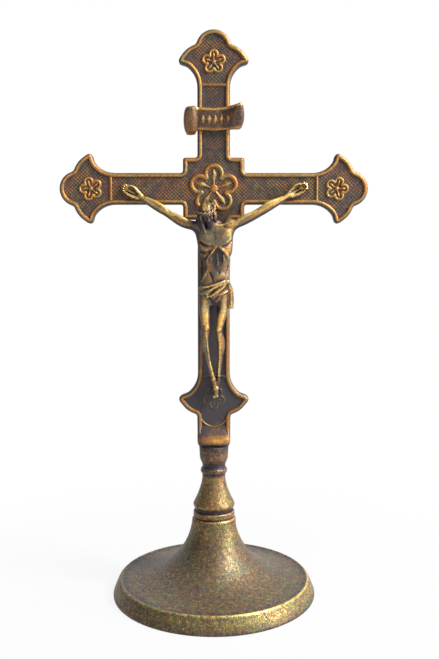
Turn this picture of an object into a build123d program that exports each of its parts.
"""Standing crucifix: a cast cross with its figure and title scroll, on a turned stem and a flared foot.

One tie rod runs from a nut under the foot through collar, bell and cup into the cross. The frame has its
origin under the foot's centre, +Z up, and the cross faces -Y.
"""
import os
from math import asin, cos, degrees, radians, sin, tan

from build123d import *

# Driving dimensions in millimetres, angles in degrees

# Foot
FOOT_RADIUS = 43.6
FOOT_RIM_RADIUS = 40.8
FOOT_RIM_HEIGHT = 7.2
FOOT_RIM_BULGE = 0.45
FOOT_RIM_LIP = 1.1
FOOT_DISH_DIP = 0.35
FOOT_HEIGHT = 32.0
FOOT_NECK_RADIUS = 9.4
FOOT_FLARE_OVERRUN = 2.0
FOOT_WALL = 2.7
FOOT_RING_WIDTH = 3.2
FOOT_HUB_RADIUS = 14.0
FOOT_HUB_FACE = 14.0
RIM_STEPS = 2
FLARE_STEPS = 7
ROOF_STEPS = 3

# Stem, from the foot upwards
COLLAR_HEIGHT = 4.6
COLLAR_TOP_RADIUS = 9.0
COLLAR_BASE_RADIUS = 9.2
COLLAR_CHAMFER = 0.5
BELL_HEIGHT = 19.6
BELL_BASE_RADIUS = 8.15
BELL_RIM_RADIUS = 9.0
BELL_RIM_CENTRE = 2.3
BELL_RIM_TOP = 3.4
BELL_RIM_TOP_RADIUS = 8.6
BELL_NECK_RADIUS = 5.0
BELL_FLARE_TOP = 14.4
BEAD_RADIUS = 5.7
BEAD_CENTRE = 17.6
BEAD_HALF_HEIGHT = 1.25
RIM_ROUND_STEPS = 2
FLANK_STEPS = 3
BEAD_STEPS = 3
CUP_HEIGHT = 8.8
CUP_NECK_HEIGHT = 0.8
CUP_NECK_RADIUS = 5.0
CUP_BELLY_HEIGHT = 3.8
CUP_BELLY_RADIUS = 6.1
CUP_BELLY_BULGE = 0.5
CUP_TOP_RADIUS = 6.35
BELLY_STEPS = 2

# Tenons, tie rod and their clearances
BELL_TENON_RADIUS = 5.2
BELL_TENON_REACH = 2.4
CUP_TENON_RADIUS = 3.4
CUP_TENON_LENGTH = 2.2
BOSS_TENON_RADIUS = 3.6
BOSS_TENON_LENGTH = 2.2
TENON_CLEARANCE = 0.05
TENON_END_GAP = 0.3
ROD_RADIUS = 2.0
ROD_CLEARANCE = 0.05
ROD_TAIL = 1.2
ROD_CHAMFER = 0.4
ROD_GRIP = 6.2
ROD_END_GAP = 0.5
WASHER_RADIUS = 5.0
WASHER_THICKNESS = 1.0
NUT_WIDTH = 7.0
NUT_HEIGHT = 3.2

# Cross, measured at the back, where the drafted sides are widest
HEAD_REACH = 65.0
ARM_REACH = 64.6
UPRIGHT_REACH = 101.6
UPRIGHT_WIDTH = 13.4
ARM_WIDTH = 12.8
BLOCK_SIDE = 24.5
PLATE_THICKNESS = 3.7
PLATE_DRAFT = 5.0
BORDER_WIDTH = 1.15
FIELD_DEPTH = 0.7
LOBE_RADIUS = 7.1
LOBE_NOTCH_ANGLE = 10.0
LEAF_SHOULDER_WIDTH = 11.9
LEAF_SHOULDER_SETBACK = 8.6
LEAF_TIP_WIDTH = 14.4
LEAF_TIP_SETBACK = 12.9
LEAF_TIP_ROUND = 0.8
LEAF_ROOT_SETBACK = 23.5
DIVIDER_SETBACK = 22.2
DIVIDER_WIDTH = 1.0
BOSS_HEIGHT = 8.4
BOSS_WIDTH = 13.8
BOSS_DEPTH = 10.0
BOSS_CORNER = 3.2
BOSS_CROWN_HEIGHT = 2.6
BOSS_ROOT_OVERLAP = 4.0
BOSS_ROUND = 0.8

# Rosettes cast on the field
PETALS = 5
LOOP_SIDES = 8
ROSETTE_HEIGHT = 0.6
ROSETTE_LOOP_OFFSET = 6.6
ROSETTE_LOOP_RADIUS = 3.6
ROSETTE_LOOP_WIDTH = 1.0
ROSETTE_OPEN_RADIUS = 4.6
ROSETTE_RAY_LENGTH = 7.2
ROSETTE_RAY_WIDTH = 1.7
ROSETTE_BUTTON_RADIUS = 1.9
END_ROSETTE_SETBACK = 12.8
END_LOOP_OFFSET = 2.75
END_LOOP_RADIUS = 1.5
END_LOOP_WIDTH = 0.7
END_OPEN_RADIUS = 1.9
END_RAY_LENGTH = 3.0
END_RAY_WIDTH = 0.8
END_BUTTON_RADIUS = 0.8

# Title scroll
SCROLL_DROP = 36.9
SCROLL_TILT = 3.0
SCROLL_HEIGHT = 8.6
SCROLL_LEFT = 8.4
SCROLL_RIGHT = 9.6
SCROLL_CROWN = 2.7
SCROLL_EDGE = 1.0
LEFT_ROLL_REACH = 10.0
LEFT_ROLL_FORWARD = 3.1
LEFT_ROLL_RADIUS = 2.9
LEFT_ROLL_HEIGHT = 11.4
LEFT_ROLL_DROP = 0.5
RIGHT_ROLL_REACH = 10.5
RIGHT_ROLL_FORWARD = 2.0
RIGHT_ROLL_RADIUS = 1.8
RIGHT_ROLL_HEIGHT = 9.6
RIGHT_ROLL_RISE = 0.7
ROLL_WALL = 0.8
ROLL_MOUTH_DEPTH = 2.0
RIVET_RADIUS = 0.8
RIVET_CLEARANCE = 0.03
RIVET_SPACING = 7.0
RIVET_BITE = 1.3
RIVET_END_GAP = 0.1
RIVET_HEAD_RADIUS = 1.6
RIVET_HEAD_HEIGHT = 0.8

# Nails through hands and feet; a seat is how far forward of the cross's field a nail's head rests
NAIL_RADIUS = 0.55
NAIL_CLEARANCE = 0.03
NAIL_HEAD_RADIUS = 1.05
NAIL_HEAD_HEIGHT = 0.6
NAIL_PEEN_RADIUS = 1.2
NAIL_PEEN_HEIGHT = 0.5
NAIL_SPOT_DEPTH = 2.0
DOME_STEPS = 2
HAND_NAIL_REACH = 36.8
HAND_NAIL_RISE = 0.4
HAND_NAIL_SEAT = 1.1
FOOT_NAIL_OFFSET = 0.9
FOOT_NAIL_DROP = 84.4
FOOT_NAIL_SEAT = 4.1

# Figure: places are across the cross, forward of its field and down from the arms' centre line
HEAD_PLACE = (-2.4, 7.2, 11.6)
HEAD_LEAN = 14.0
HEAD_NOD = 22.0
NECK_RADIUS = 1.9
NECK_INSET = 2.0
CHEST_OFFSET = 0.8
SHOULDER_DROP = 16.2
SHOULDER_FORWARD = 4.4
SHOULDER_HALF_SPAN = 6.0
SHOULDER_RADIUS = 2.15
SHOULDER_ROOT = 2.6
UPPER_ARM_REACH = 7.0
UPPER_ARM_RADIUS = 1.75
ELBOW_REACH = 14.0
ELBOW_FORWARD = 3.7
ELBOW_SAG = 1.0
ELBOW_RADIUS = 1.4
FOREARM_REACH = 18.5
FOREARM_RADIUS = 1.45
WRIST_REACH = 24.0
WRIST_FORWARD = 2.3
WRIST_SAG = 0.6
WRIST_RADIUS = 0.95
PALM_HALF_WIDTH = 1.75
PALM_HALF_DEPTH = 0.75
PALM_FLAT = 0.25
FINGER_HALF_WIDTH = 1.1
FINGER_HALF_DEPTH = 0.5
FINGER_REACH = 2.6
FINGER_RISE = 1.7
TORSO_FORWARD = 4.4
OVAL_SIDES = 10

# Head, with its hair and beard, as ovals: up its own axis, forward of it, half width, half depth
HEAD = [(-5.4, 1.5, 1.1, 1.0), (-3.6, 0.8, 2.4, 2.3), (-0.6, 0.0, 3.6, 3.6), (2.2, -0.3, 3.9, 3.9),
        (4.4, -0.3, 2.8, 2.8), (5.5, -0.2, 1.1, 1.1)]

# Trunk and loincloth as ovals: down, across, half width, half depth
TORSO = [(14.6, 0.5, 3.6, 1.9), (17.6, 0.7, 6.0, 2.7), (21.5, 0.8, 6.7, 3.2), (25.0, 0.9, 6.1, 3.1),
         (29.0, 1.4, 5.1, 2.6), (34.0, 1.4, 4.9, 2.4), (39.0, 0.6, 5.5, 2.7), (44.0, 0.1, 6.1, 3.0),
         (48.0, 0.1, 5.2, 2.4)]
CLOTH = [(39.4, 0.6, 5.9, 3.1), (42.0, 0.3, 6.5, 3.5), (45.5, 0.2, 6.5, 3.5), (48.0, 0.2, 5.6, 3.0)]
CLOTH_SLANT = 10.0
DRAPE = [(5.6, 5.2, 37.8, 0.8), (6.2, 5.2, 39.4, 1.6), (7.0, 4.8, 41.4, 0.9), (7.5, 4.5, 45.5, 1.2),
         (7.6, 4.3, 50.4, 0.9)]

# Legs as round sections: across, forward, share of the way from hip to foot nail, radius
HIP_DROP = 45.5
LEFT_LEG = [(-3.6, 4.0, 0.0, 2.3), (-4.1, 5.0, 0.17, 1.95), (-3.3, 6.2, 0.33, 1.5), (-3.5, 5.3, 0.51, 1.55),
            (-2.5, 4.3, 0.68, 1.25)]
RIGHT_LEG = [(3.9, 4.0, 0.0, 2.3), (3.6, 5.0, 0.18, 1.9), (2.2, 6.0, 0.35, 1.45), (3.1, 4.8, 0.55, 1.45),
             (2.7, 3.4, 0.69, 1.1)]

# Feet as round sections: across from the foot nail, forward of the field, down from the nail, radius
LEFT_FOOT = [(-0.9, 3.6, -3.6, 0.95), (-0.4, 3.1, -1.4, 1.2), (0.0, 3.4, 2.0, 1.25), (-0.2, 3.9, 3.8, 0.6)]
RIGHT_FOOT = [(1.1, 2.4, -5.4, 0.9), (0.8, 1.0, -2.4, 1.1), (0.3, 1.2, 0.8, 1.2), (0.4, 1.6, 3.0, 0.6)]

# Heights and depths worked out from those
collar_base = FOOT_HEIGHT
bell_base = collar_base + COLLAR_HEIGHT
cup_base = bell_base + BELL_HEIGHT
boss_base = cup_base + CUP_HEIGHT
lobe_end = boss_base + BOSS_HEIGHT
arm_height = lobe_end + UPRIGHT_REACH
cross_top = arm_height + HEAD_REACH
scroll_height = cross_top - SCROLL_DROP
plate_back = PLATE_THICKNESS / 2
border_front = PLATE_THICKNESS / 2
field_front = border_front - FIELD_DEPTH
draft_inset = PLATE_THICKNESS * tan(radians(PLATE_DRAFT))
rod_hole_radius = ROD_RADIUS + ROD_CLEARANCE
nail_hole_radius = NAIL_RADIUS + NAIL_CLEARANCE
rivet_hole_radius = RIVET_RADIUS + RIVET_CLEARANCE

# Planes that face the viewer: the cross's back, its field and the crest of its border
back_plane = Plane.XZ.offset(-plate_back)
field_plane = Plane.XZ.offset(field_front)
border_plane = Plane.XZ.offset(border_front)

# Where the four ends of the cross lie, each with its turn, and the three nails and two rivets
cross_ends = [
    Location((0, cross_top), 0),
    Location((-ARM_REACH, arm_height), 90),
    Location((0, lobe_end), 180),
    Location((ARM_REACH, arm_height), -90),
]
hand_nail_height = arm_height + HAND_NAIL_RISE
foot_nail_height = arm_height - FOOT_NAIL_DROP
hand_nail_places = [(-HAND_NAIL_REACH, hand_nail_height), (HAND_NAIL_REACH, hand_nail_height)]
foot_nail_place = (FOOT_NAIL_OFFSET, foot_nail_height)
nail_seats = [(place, HAND_NAIL_SEAT) for place in hand_nail_places] + [(foot_nail_place, FOOT_NAIL_SEAT)]
scroll_along = Vector(cos(radians(SCROLL_TILT)), 0, sin(radians(SCROLL_TILT)))
rivet_places = [
    (side * RIVET_SPACING / 2 * scroll_along.X, scroll_height + side * RIVET_SPACING / 2 * scroll_along.Z)
    for side in (-1, 1)
]

os.makedirs("parts", exist_ok=True)


def save(builder, name):
    """Label one finished piece and write it as its own file."""
    builder.part.label = name
    export_step(builder.part, f"parts/{name}.step")


def bore(radius, low, high):
    """Cut a round hole about the stem's axis between two heights."""
    with Locations((0, 0, low)):
        Cylinder(radius, high - low, align=(Align.CENTER, Align.CENTER, Align.MIN), mode=Mode.SUBTRACT)


def stops(curve, count):
    """Points that cut a curve into equal lengths, so that it is turned as a run of cones."""
    return [curve @ (step / count) for step in range(count + 1)]


# Foot: a flared shell with a bevelled rim, hollow below, with a solid hub in its neck
flare_centre = FOOT_HEIGHT + FOOT_FLARE_OVERRUN
flare_reach = FOOT_RIM_RADIUS - FOOT_RIM_LIP
dish_height = FOOT_RIM_HEIGHT - FOOT_DISH_DIP
hollow_reach = flare_reach - FOOT_WALL
hollow_rise = flare_centre - (dish_height - FOOT_WALL)
hub_angle = degrees(asin((flare_centre - FOOT_HUB_FACE) / hollow_rise))
hollow_span = (hollow_reach - FOOT_HUB_RADIUS) / cos(radians(hub_angle))
with BuildPart() as foot:
    with BuildSketch(Plane.XZ):
        with BuildLine():
            rim = SagittaArc(
                (FOOT_RADIUS, 0), (FOOT_RIM_RADIUS, FOOT_RIM_HEIGHT), -FOOT_RIM_BULGE, mode=Mode.PRIVATE)
            flare = EllipticalCenterArc(
                (flare_reach, flare_centre), flare_reach - FOOT_NECK_RADIUS, flare_centre - dish_height,
                180, mode=Mode.PRIVATE)
            Polyline(*stops(rim, RIM_STEPS), *reversed(stops(flare, FLARE_STEPS)), (0, flare_centre),
                     (0, 0), close=True)
        make_face()
    revolve(axis=Axis.Z)
    bore(FOOT_RADIUS, FOOT_HEIGHT, flare_centre)
    with BuildSketch(Plane.XZ):
        with BuildLine():
            roof = EllipticalCenterArc(
                (hollow_reach, flare_centre), hollow_span, hollow_rise, 180 + hub_angle,
                arc_size=90 - hub_angle, mode=Mode.PRIVATE)
            Polyline(*stops(roof, ROOF_STEPS), (FOOT_RADIUS - FOOT_RING_WIDTH, 0), (0, 0),
                     (0, FOOT_HUB_FACE), close=True)
        make_face()
    revolve(axis=Axis.Z, mode=Mode.SUBTRACT)
    bore(rod_hole_radius, 0, FOOT_HEIGHT)
    bore(BELL_TENON_RADIUS + TENON_CLEARANCE, FOOT_HEIGHT - BELL_TENON_REACH - TENON_END_GAP, FOOT_HEIGHT)
save(foot, "foot")

# Collar: a plain ring, centred by the bell's tenon that passes through it
with BuildPart() as stem_collar:
    with BuildSketch(Plane.XZ):
        with BuildLine():
            Polyline(
                (BELL_TENON_RADIUS + TENON_CLEARANCE, collar_base),
                (COLLAR_BASE_RADIUS, collar_base),
                (COLLAR_TOP_RADIUS, bell_base),
                (BELL_TENON_RADIUS + TENON_CLEARANCE, bell_base),
                close=True)
        make_face()
    revolve(axis=Axis.Z)
    chamfer(stem_collar.edges().filter_by(GeomType.CIRCLE).sort_by(SortBy.RADIUS)[-2:], COLLAR_CHAMFER)
save(stem_collar, "stem_collar")

# Bell: a flared bell with a rounded rim, a neck and a bead, with a tenon down into the foot
with BuildPart() as stem_bell:
    with BuildSketch(Plane.XZ):
        with BuildLine():
            rim_round = ThreePointArc(
                (BELL_BASE_RADIUS, bell_base),
                (BELL_RIM_RADIUS, bell_base + BELL_RIM_CENTRE),
                (BELL_RIM_TOP_RADIUS, bell_base + BELL_RIM_TOP), mode=Mode.PRIVATE)
            flank = TangentArc(
                (BELL_NECK_RADIUS, bell_base + BELL_FLARE_TOP), rim_round @ 1, tangent=(0, -1),
                mode=Mode.PRIVATE)
            bead = ThreePointArc(
                (BELL_NECK_RADIUS, bell_base + BEAD_CENTRE - BEAD_HALF_HEIGHT),
                (BEAD_RADIUS, bell_base + BEAD_CENTRE),
                (BELL_NECK_RADIUS, bell_base + BEAD_CENTRE + BEAD_HALF_HEIGHT), mode=Mode.PRIVATE)
            Polyline(
                *stops(rim_round, RIM_ROUND_STEPS), *reversed(stops(flank, FLANK_STEPS)[:-1]),
                *stops(bead, BEAD_STEPS), (BELL_NECK_RADIUS, cup_base), (0, cup_base),
                (0, collar_base - BELL_TENON_REACH), (BELL_TENON_RADIUS, collar_base - BELL_TENON_REACH),
                (BELL_TENON_RADIUS, bell_base), close=True)
        make_face()
    revolve(axis=Axis.Z)
    bore(rod_hole_radius, collar_base - BELL_TENON_REACH, cup_base)
    bore(CUP_TENON_RADIUS + TENON_CLEARANCE, cup_base - CUP_TENON_LENGTH - TENON_END_GAP, cup_base)
save(stem_bell, "stem_bell")

# Cup: a small turned cup under the cross, with a tenon below and a socket above
with BuildPart() as stem_cup:
    with BuildSketch(Plane.XZ):
        with BuildLine():
            belly = SagittaArc(
                (CUP_NECK_RADIUS, cup_base + CUP_NECK_HEIGHT),
                (CUP_BELLY_RADIUS, cup_base + CUP_BELLY_HEIGHT), -CUP_BELLY_BULGE, mode=Mode.PRIVATE)
            Polyline(
                *stops(belly, BELLY_STEPS), (CUP_TOP_RADIUS, boss_base), (0, boss_base),
                (0, cup_base - CUP_TENON_LENGTH), (CUP_TENON_RADIUS, cup_base - CUP_TENON_LENGTH),
                (CUP_TENON_RADIUS, cup_base), (CUP_NECK_RADIUS, cup_base), close=True)
        make_face()
    revolve(axis=Axis.Z)
    bore(rod_hole_radius, cup_base - CUP_TENON_LENGTH, boss_base)
    bore(BOSS_TENON_RADIUS + TENON_CLEARANCE, boss_base - BOSS_TENON_LENGTH - TENON_END_GAP, boss_base)
save(stem_cup, "stem_cup")

# One trefoil end, drawn with the lobe's end at the origin: a round lobe between two pointed leaves
notch = radians(LOBE_NOTCH_ANGLE)
with BuildSketch() as trefoil:
    with BuildLine():
        lobe = ThreePointArc(
            (0, 0),
            (LOBE_RADIUS * cos(radians(50)), LOBE_RADIUS * (sin(radians(50)) - 1)),
            (LOBE_RADIUS * cos(notch), LOBE_RADIUS * (sin(notch) - 1)))
        shoulder = ThreePointArc(
            lobe @ 1, (LEAF_SHOULDER_WIDTH, -LEAF_SHOULDER_SETBACK), (LEAF_TIP_WIDTH, -LEAF_TIP_SETBACK))
        underside = TangentArc(
            (UPRIGHT_WIDTH / 2, -LEAF_ROOT_SETBACK), shoulder @ 1, tangent=(0, 1))
        Polyline(underside @ 0, (0, -LEAF_ROOT_SETBACK), (0, 0))
    make_face()
    mirror(about=Plane.YZ)
    fillet(trefoil.vertices().group_by(Axis.X)[0] + trefoil.vertices().group_by(Axis.X)[-1], LEAF_TIP_ROUND)

# The cross's outline at its back, lying in the plane of the cross
with BuildSketch() as outline:
    with Locations((0, (cross_top + lobe_end) / 2)):
        Rectangle(UPRIGHT_WIDTH, cross_top - lobe_end - 2 * LEAF_ROOT_SETBACK)
    with Locations((0, arm_height)):
        Rectangle(2 * (ARM_REACH - LEAF_ROOT_SETBACK), ARM_WIDTH)
        Rectangle(BLOCK_SIDE, BLOCK_SIDE)
    with Locations(*cross_ends):
        add(trefoil.sketch)

# The sunk field: the outline drawn in by the draft and the border, with a divider bar left near each end
with BuildSketch() as field:
    add(outline.sketch)
    offset(amount=-(draft_inset + BORDER_WIDTH))
    for end in cross_ends:
        with Locations(end):
            with Locations((0, -DIVIDER_SETBACK)):
                Rectangle(2 * UPRIGHT_WIDTH, DIVIDER_WIDTH, mode=Mode.SUBTRACT)


def petal_loops(offset_out, radius, width, open_radius):
    """Draw a ring of flat-sided loops, open towards the middle, in the active sketch."""
    with PolarLocations(offset_out, PETALS, start_angle=90):
        RegularPolygon(radius + width / 2, LOOP_SIDES)
    with PolarLocations(offset_out, PETALS, start_angle=90):
        RegularPolygon(radius - width / 2, LOOP_SIDES, mode=Mode.SUBTRACT)
    RegularPolygon(open_radius, 2 * PETALS, mode=Mode.SUBTRACT)


def petal_rays(length, width, button_radius):
    """Draw a star of pointed rays about a button in the active sketch."""
    with PolarLocations(length / 2, PETALS, start_angle=-90):
        Polygon((-length / 2, 0), (0, -width / 2), (length / 2, 0), (0, width / 2))
    RegularPolygon(button_radius, 2 * PETALS)


with BuildSketch() as centre_rosette:
    petal_loops(ROSETTE_LOOP_OFFSET, ROSETTE_LOOP_RADIUS, ROSETTE_LOOP_WIDTH, ROSETTE_OPEN_RADIUS)
    petal_rays(ROSETTE_RAY_LENGTH, ROSETTE_RAY_WIDTH, ROSETTE_BUTTON_RADIUS)

with BuildSketch() as end_rosette:
    petal_loops(END_LOOP_OFFSET, END_LOOP_RADIUS, END_LOOP_WIDTH, END_OPEN_RADIUS)
    petal_rays(END_RAY_LENGTH, END_RAY_WIDTH, END_BUTTON_RADIUS)

# Boss under the cross: scooped out of the plate to a deep cushion that takes the rod
boss_root = lobe_end + BOSS_ROOT_OVERLAP
boss_crown = boss_base + BOSS_CROWN_HEIGHT
with BuildPart() as boss:
    with BuildSketch(Plane.YZ):
        with BuildLine():
            scoop = TangentArc((field_front, lobe_end), (BOSS_DEPTH / 2, boss_crown), tangent=(0, -1))
            Line(scoop @ 0, (field_front, boss_root))
            Line((field_front, boss_root), (0, boss_root))
            Polyline(scoop @ 1, (BOSS_DEPTH / 2, boss_base), (0, boss_base), (0, boss_root))
        make_face()
        mirror(about=Plane.YZ)
    extrude(amount=BOSS_WIDTH / 2, both=True)
    with BuildSketch(Plane.XY.offset(boss_base)):
        RectangleRounded(BOSS_WIDTH, BOSS_DEPTH, BOSS_CORNER)
    extrude(amount=boss_root - boss_base, mode=Mode.INTERSECT)
    fillet(boss.faces().sort_by(Axis.Z)[0].edges(), BOSS_ROUND)
    with Locations((0, 0, boss_base - BOSS_TENON_LENGTH)):
        Cylinder(BOSS_TENON_RADIUS, BOSS_TENON_LENGTH + BOSS_ROUND,
                 align=(Align.CENTER, Align.CENTER, Align.MIN))

# Cross: the drafted plate with its sunk field, dividers, rosettes and boss
with BuildPart() as cross:
    with BuildSketch(back_plane):
        add(outline.sketch)
    extrude(amount=PLATE_THICKNESS)
    draft(cross.faces().filter_by(lambda face: abs(face.normal_at().Y) < 0.5), back_plane, PLATE_DRAFT)
    with BuildSketch(border_plane):
        add(field.sketch)
    extrude(amount=-FIELD_DEPTH, mode=Mode.SUBTRACT)
    with BuildSketch(field_plane):
        with Locations((0, arm_height)):
            add(centre_rosette.sketch)
        for end in cross_ends:
            with Locations(end):
                with Locations((0, -END_ROSETTE_SETBACK)):
                    add(end_rosette.sketch)
    extrude(amount=ROSETTE_HEIGHT)
    add(boss.part)
    bore(rod_hole_radius, boss_base - BOSS_TENON_LENGTH, boss_base + ROD_GRIP - BOSS_TENON_LENGTH)
    with BuildSketch(back_plane):
        with Locations(*hand_nail_places, foot_nail_place):
            Circle(nail_hole_radius)
        with Locations(*rivet_places):
            Circle(rivet_hole_radius)
    extrude(amount=PLATE_THICKNESS, mode=Mode.SUBTRACT)
save(cross, "cross")

# Title scroll: a bowed band with a rolled end each side, seated flat on the border
scroll_plane = Plane(
    origin=(0, -border_front, scroll_height), x_dir=scroll_along,
    z_dir=(-scroll_along.Z, 0, scroll_along.X))


def scroll_roll(reach, forward, radius, height, rise):
    """Add one rolled end of the scroll, with a sunk mouth above and below."""
    low = rise - height / 2
    with BuildSketch(scroll_plane.offset(low)) as roll:
        with Locations((reach, -forward)):
            Circle(radius)
    extrude(roll.sketch, amount=height)
    for mouth_floor in (low, low + height - ROLL_MOUTH_DEPTH):
        with BuildSketch(scroll_plane.offset(mouth_floor)) as mouth:
            with Locations((reach, -forward)):
                Circle(radius - ROLL_WALL)
        extrude(mouth.sketch, amount=ROLL_MOUTH_DEPTH, mode=Mode.SUBTRACT)


with BuildPart() as title_scroll:
    with BuildSketch(scroll_plane):
        with BuildLine():
            bow = ThreePointArc(
                (-SCROLL_LEFT, -SCROLL_EDGE), ((SCROLL_RIGHT - SCROLL_LEFT) / 2, -SCROLL_CROWN),
                (SCROLL_RIGHT, -SCROLL_EDGE))
            Polyline(bow @ 1, (SCROLL_RIGHT, 0), (-SCROLL_LEFT, 0), bow @ 0)
        make_face()
    extrude(amount=SCROLL_HEIGHT / 2, both=True)
    scroll_roll(-LEFT_ROLL_REACH, LEFT_ROLL_FORWARD, LEFT_ROLL_RADIUS, LEFT_ROLL_HEIGHT, -LEFT_ROLL_DROP)
    scroll_roll(RIGHT_ROLL_REACH, RIGHT_ROLL_FORWARD, RIGHT_ROLL_RADIUS, RIGHT_ROLL_HEIGHT, RIGHT_ROLL_RISE)
    with BuildSketch(border_plane):
        with Locations(*rivet_places):
            Circle(rivet_hole_radius)
    extrude(amount=RIVET_BITE + RIVET_END_GAP, mode=Mode.SUBTRACT)
save(title_scroll, "title_scroll")


def pin_plane(place):
    """The level plane through a pin's axis, with X across the cross and Y towards its back."""
    return Plane(origin=(place[0], 0, place[1]), x_dir=(1, 0, 0), z_dir=(0, 0, 1))


def pin_axis(place):
    """The axis of a pin that runs through the cross from front to back."""
    return Axis((place[0], 0, place[1]), (0, 1, 0))


def rivet(place):
    """Add one rivet: a domed head at the cross's back and a plain shank into the scroll."""
    tip = -(border_front + RIVET_BITE)
    with BuildSketch(pin_plane(place)) as half:
        with BuildLine():
            head = TangentArc(
                (0, plate_back + RIVET_HEAD_HEIGHT), (RIVET_HEAD_RADIUS, plate_back), tangent=(1, 0),
                mode=Mode.PRIVATE)
            Polyline(*stops(head, DOME_STEPS), (RIVET_RADIUS, plate_back), (RIVET_RADIUS, tip), (0, tip),
                     close=True)
        make_face()
    revolve(half.sketch, axis=pin_axis(place))


def nail(place, seat):
    """Add one nail: a domed head resting on the figure, a shank, and a peened end at the cross's back."""
    rest = -(field_front + seat)
    with BuildSketch(pin_plane(place)) as half:
        with BuildLine():
            head = TangentArc(
                (0, rest - NAIL_HEAD_HEIGHT), (NAIL_HEAD_RADIUS, rest), tangent=(1, 0), mode=Mode.PRIVATE)
            peen = TangentArc(
                (0, plate_back + NAIL_PEEN_HEIGHT), (NAIL_PEEN_RADIUS, plate_back), tangent=(1, 0),
                mode=Mode.PRIVATE)
            Polyline(*stops(head, DOME_STEPS), (NAIL_RADIUS, rest), (NAIL_RADIUS, plate_back),
                     *reversed(stops(peen, DOME_STEPS)), close=True)
        make_face()
    revolve(half.sketch, axis=pin_axis(place))


# Rivets that hold the scroll from behind
with BuildPart() as title_rivets:
    for rivet_place in rivet_places:
        rivet(rivet_place)
save(title_rivets, "title_rivets")

# Nails, one through each hand and one through both feet
with BuildPart() as hand_nails:
    for hand_nail_place in hand_nail_places:
        nail(hand_nail_place, HAND_NAIL_SEAT)
save(hand_nails, "hand_nails")

with BuildPart() as foot_nail:
    nail(foot_nail_place, FOOT_NAIL_SEAT)
save(foot_nail, "foot_nail")


def at(across, forward, down):
    """A point of the figure, from its place across, forward of the field and below the arms' line."""
    return Vector(across, -(field_front + forward), arm_height - down)


def rows(table, across=0, down=0):
    """Round stations of a limb from rows of across, forward, down and radius, set out from a place."""
    return [(at(across + x, forward, down + z), radius, radius) for x, forward, z, radius in table]


def leg_rows(table):
    """Round stations of a leg, with each place between hip and foot nail worked out from its share."""
    leg_run = FOOT_NAIL_DROP - HIP_DROP
    return rows([(across, forward, HIP_DROP + share * leg_run, radius)
                 for across, forward, share, radius in table])


def square_plane(point, direction):
    """The plane through a point square to a direction, with its X axis kept towards the viewer."""
    normal = direction.normalized()
    viewer = Vector(0, -1, 0)
    return Plane(origin=point, x_dir=viewer - normal * viewer.dot(normal), z_dir=normal)


def loft_ovals(*ovals):
    """Loft through flat-sided ovals, each a plane and its half sizes along the plane's X and Y axes."""
    sections = []
    for plane, half_x, half_y in ovals:
        with BuildSketch(plane) as section:
            Polygon(*[(half_x * cos(turn), half_y * sin(turn)) for turn in oval_turns])
        sections.append(section.sketch)
    loft(sections, ruled=True)


def limb(*stations):
    """Loft a limb through ovals square to its run, each a point, a half depth and a half width."""
    points = [point for point, half_depth, half_width in stations]
    runs = [after - before for before, after in zip(points[:1] + points[:-1], points[1:] + points[-1:])]
    loft_ovals(*[(square_plane(point, run), half_depth, half_width)
                 for (point, half_depth, half_width), run in zip(stations, runs)])


def trunk(slant, levels):
    """Loft a trunk through level ovals, leaned over by a slant."""
    across_dir = Vector(cos(radians(slant)), 0, sin(radians(slant)))
    loft_ovals(*[
        (Plane(at(across, TORSO_FORWARD, down), x_dir=across_dir, z_dir=across_dir.cross(Vector(0, 1, 0))),
         half_width, half_depth) for down, across, half_width, half_depth in levels])


oval_turns = [radians(360 * (corner + 0.5) / OVAL_SIDES) for corner in range(OVAL_SIDES)]
head_up = Vector(0, 0, 1).rotate(Axis.X, HEAD_NOD).rotate(Axis.Y, -HEAD_LEAN)
head_side = Vector(1, 0, 0).rotate(Axis.Y, -HEAD_LEAN)
head_front = head_side.cross(head_up)
head_centre = at(*HEAD_PLACE)
chest_top = at(CHEST_OFFSET, TORSO_FORWARD, SHOULDER_DROP)


def arm(side):
    """Add one arm, from the shoulder out to the hand on its nail."""
    shoulder = at(CHEST_OFFSET + side * SHOULDER_HALF_SPAN, SHOULDER_FORWARD, SHOULDER_DROP)
    palm = at(side * HAND_NAIL_REACH, PALM_HALF_DEPTH - PALM_FLAT, -HAND_NAIL_RISE)
    slope = (palm.Z - shoulder.Z) / abs(palm.X - shoulder.X)

    def along(reach, forward, sag):
        """A point of the arm, a reach out from the shoulder."""
        return Vector(shoulder.X + side * reach, -(field_front + forward), shoulder.Z + slope * reach - sag)

    root = along(-SHOULDER_ROOT, SHOULDER_FORWARD, 0)
    upper = along(UPPER_ARM_REACH, (SHOULDER_FORWARD + ELBOW_FORWARD) / 2, ELBOW_SAG / 2)
    elbow = along(ELBOW_REACH, ELBOW_FORWARD, ELBOW_SAG)
    forearm = along(FOREARM_REACH, (ELBOW_FORWARD + WRIST_FORWARD) / 2, (ELBOW_SAG + WRIST_SAG) / 2)
    wrist = along(WRIST_REACH, WRIST_FORWARD, WRIST_SAG)
    tip = palm + Vector(side * FINGER_REACH, 0, FINGER_RISE)
    limb((root, SHOULDER_RADIUS, SHOULDER_RADIUS), (shoulder, SHOULDER_RADIUS, SHOULDER_RADIUS),
         (upper, UPPER_ARM_RADIUS, UPPER_ARM_RADIUS), (elbow, ELBOW_RADIUS, ELBOW_RADIUS),
         (forearm, FOREARM_RADIUS, FOREARM_RADIUS), (wrist, WRIST_RADIUS, WRIST_RADIUS),
         (palm, PALM_HALF_DEPTH, PALM_HALF_WIDTH), (tip, FINGER_HALF_DEPTH, FINGER_HALF_WIDTH))


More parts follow.
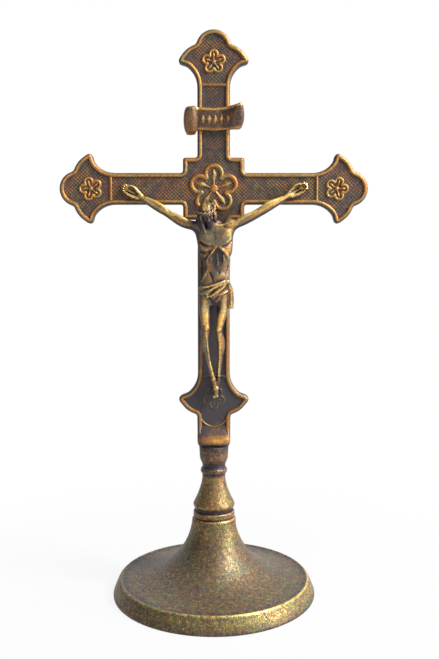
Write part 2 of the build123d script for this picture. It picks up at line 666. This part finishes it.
# Figure: one casting, flat behind the hands and feet where it seats on the cross
with BuildPart() as corpus:
    trunk(0, TORSO)
    trunk(CLOTH_SLANT, CLOTH)
    limb(*rows(DRAPE))
    loft_ovals(*[
        (Plane(head_centre + head_up * rise + head_front * forward, x_dir=head_side, z_dir=head_up),
         half_width, half_depth) for rise, forward, half_width, half_depth in HEAD])
    limb((head_centre - head_up * NECK_INSET, NECK_RADIUS, NECK_RADIUS),
         (chest_top, NECK_RADIUS, NECK_RADIUS))
    for side in (-1, 1):
        arm(side)
    for leg, crossed_foot in ((LEFT_LEG, LEFT_FOOT), (RIGHT_LEG, RIGHT_FOOT)):
        limb(*leg_rows(leg), *rows(crossed_foot, FOOT_NAIL_OFFSET, FOOT_NAIL_DROP))
    split(bisect_by=field_plane, keep=Keep.TOP)
    with BuildSketch(field_plane):
        with Locations((0, lobe_end + END_ROSETTE_SETBACK)):
            Circle(END_LOOP_OFFSET + END_LOOP_RADIUS + END_LOOP_WIDTH / 2)
    extrude(amount=ROSETTE_HEIGHT, mode=Mode.SUBTRACT)
    for place, seat in nail_seats:
        with BuildSketch(field_plane):
            with Locations(place):
                Circle(nail_hole_radius)
        extrude(amount=seat, mode=Mode.SUBTRACT)
        with BuildSketch(field_plane.offset(seat)):
            with Locations(place):
                Circle(NAIL_HEAD_RADIUS + NAIL_CLEARANCE)
        extrude(amount=NAIL_SPOT_DEPTH, mode=Mode.SUBTRACT)
save(corpus, "corpus")

# Tie rod with its washer and nut under the foot's hub
washer_base = FOOT_HUB_FACE - WASHER_THICKNESS
nut_base = washer_base - NUT_HEIGHT
rod_base = nut_base - ROD_TAIL
rod_top = boss_base - BOSS_TENON_LENGTH + ROD_GRIP - ROD_END_GAP
with BuildPart() as tie_rod:
    with Locations((0, 0, rod_base)):
        Cylinder(ROD_RADIUS, rod_top - rod_base, align=(Align.CENTER, Align.CENTER, Align.MIN))
    chamfer(tie_rod.edges().filter_by(GeomType.CIRCLE), ROD_CHAMFER)
save(tie_rod, "tie_rod")

with BuildPart() as tie_washer:
    with BuildSketch(Plane.XY.offset(washer_base)):
        Circle(WASHER_RADIUS)
        Circle(rod_hole_radius, mode=Mode.SUBTRACT)
    extrude(amount=WASHER_THICKNESS)
save(tie_washer, "tie_washer")

with BuildPart() as tie_nut:
    with BuildSketch(Plane.XY.offset(nut_base)):
        RegularPolygon(NUT_WIDTH / 2, 6, major_radius=False)
        Circle(rod_hole_radius, mode=Mode.SUBTRACT)
    extrude(amount=NUT_HEIGHT)
save(tie_nut, "tie_nut")
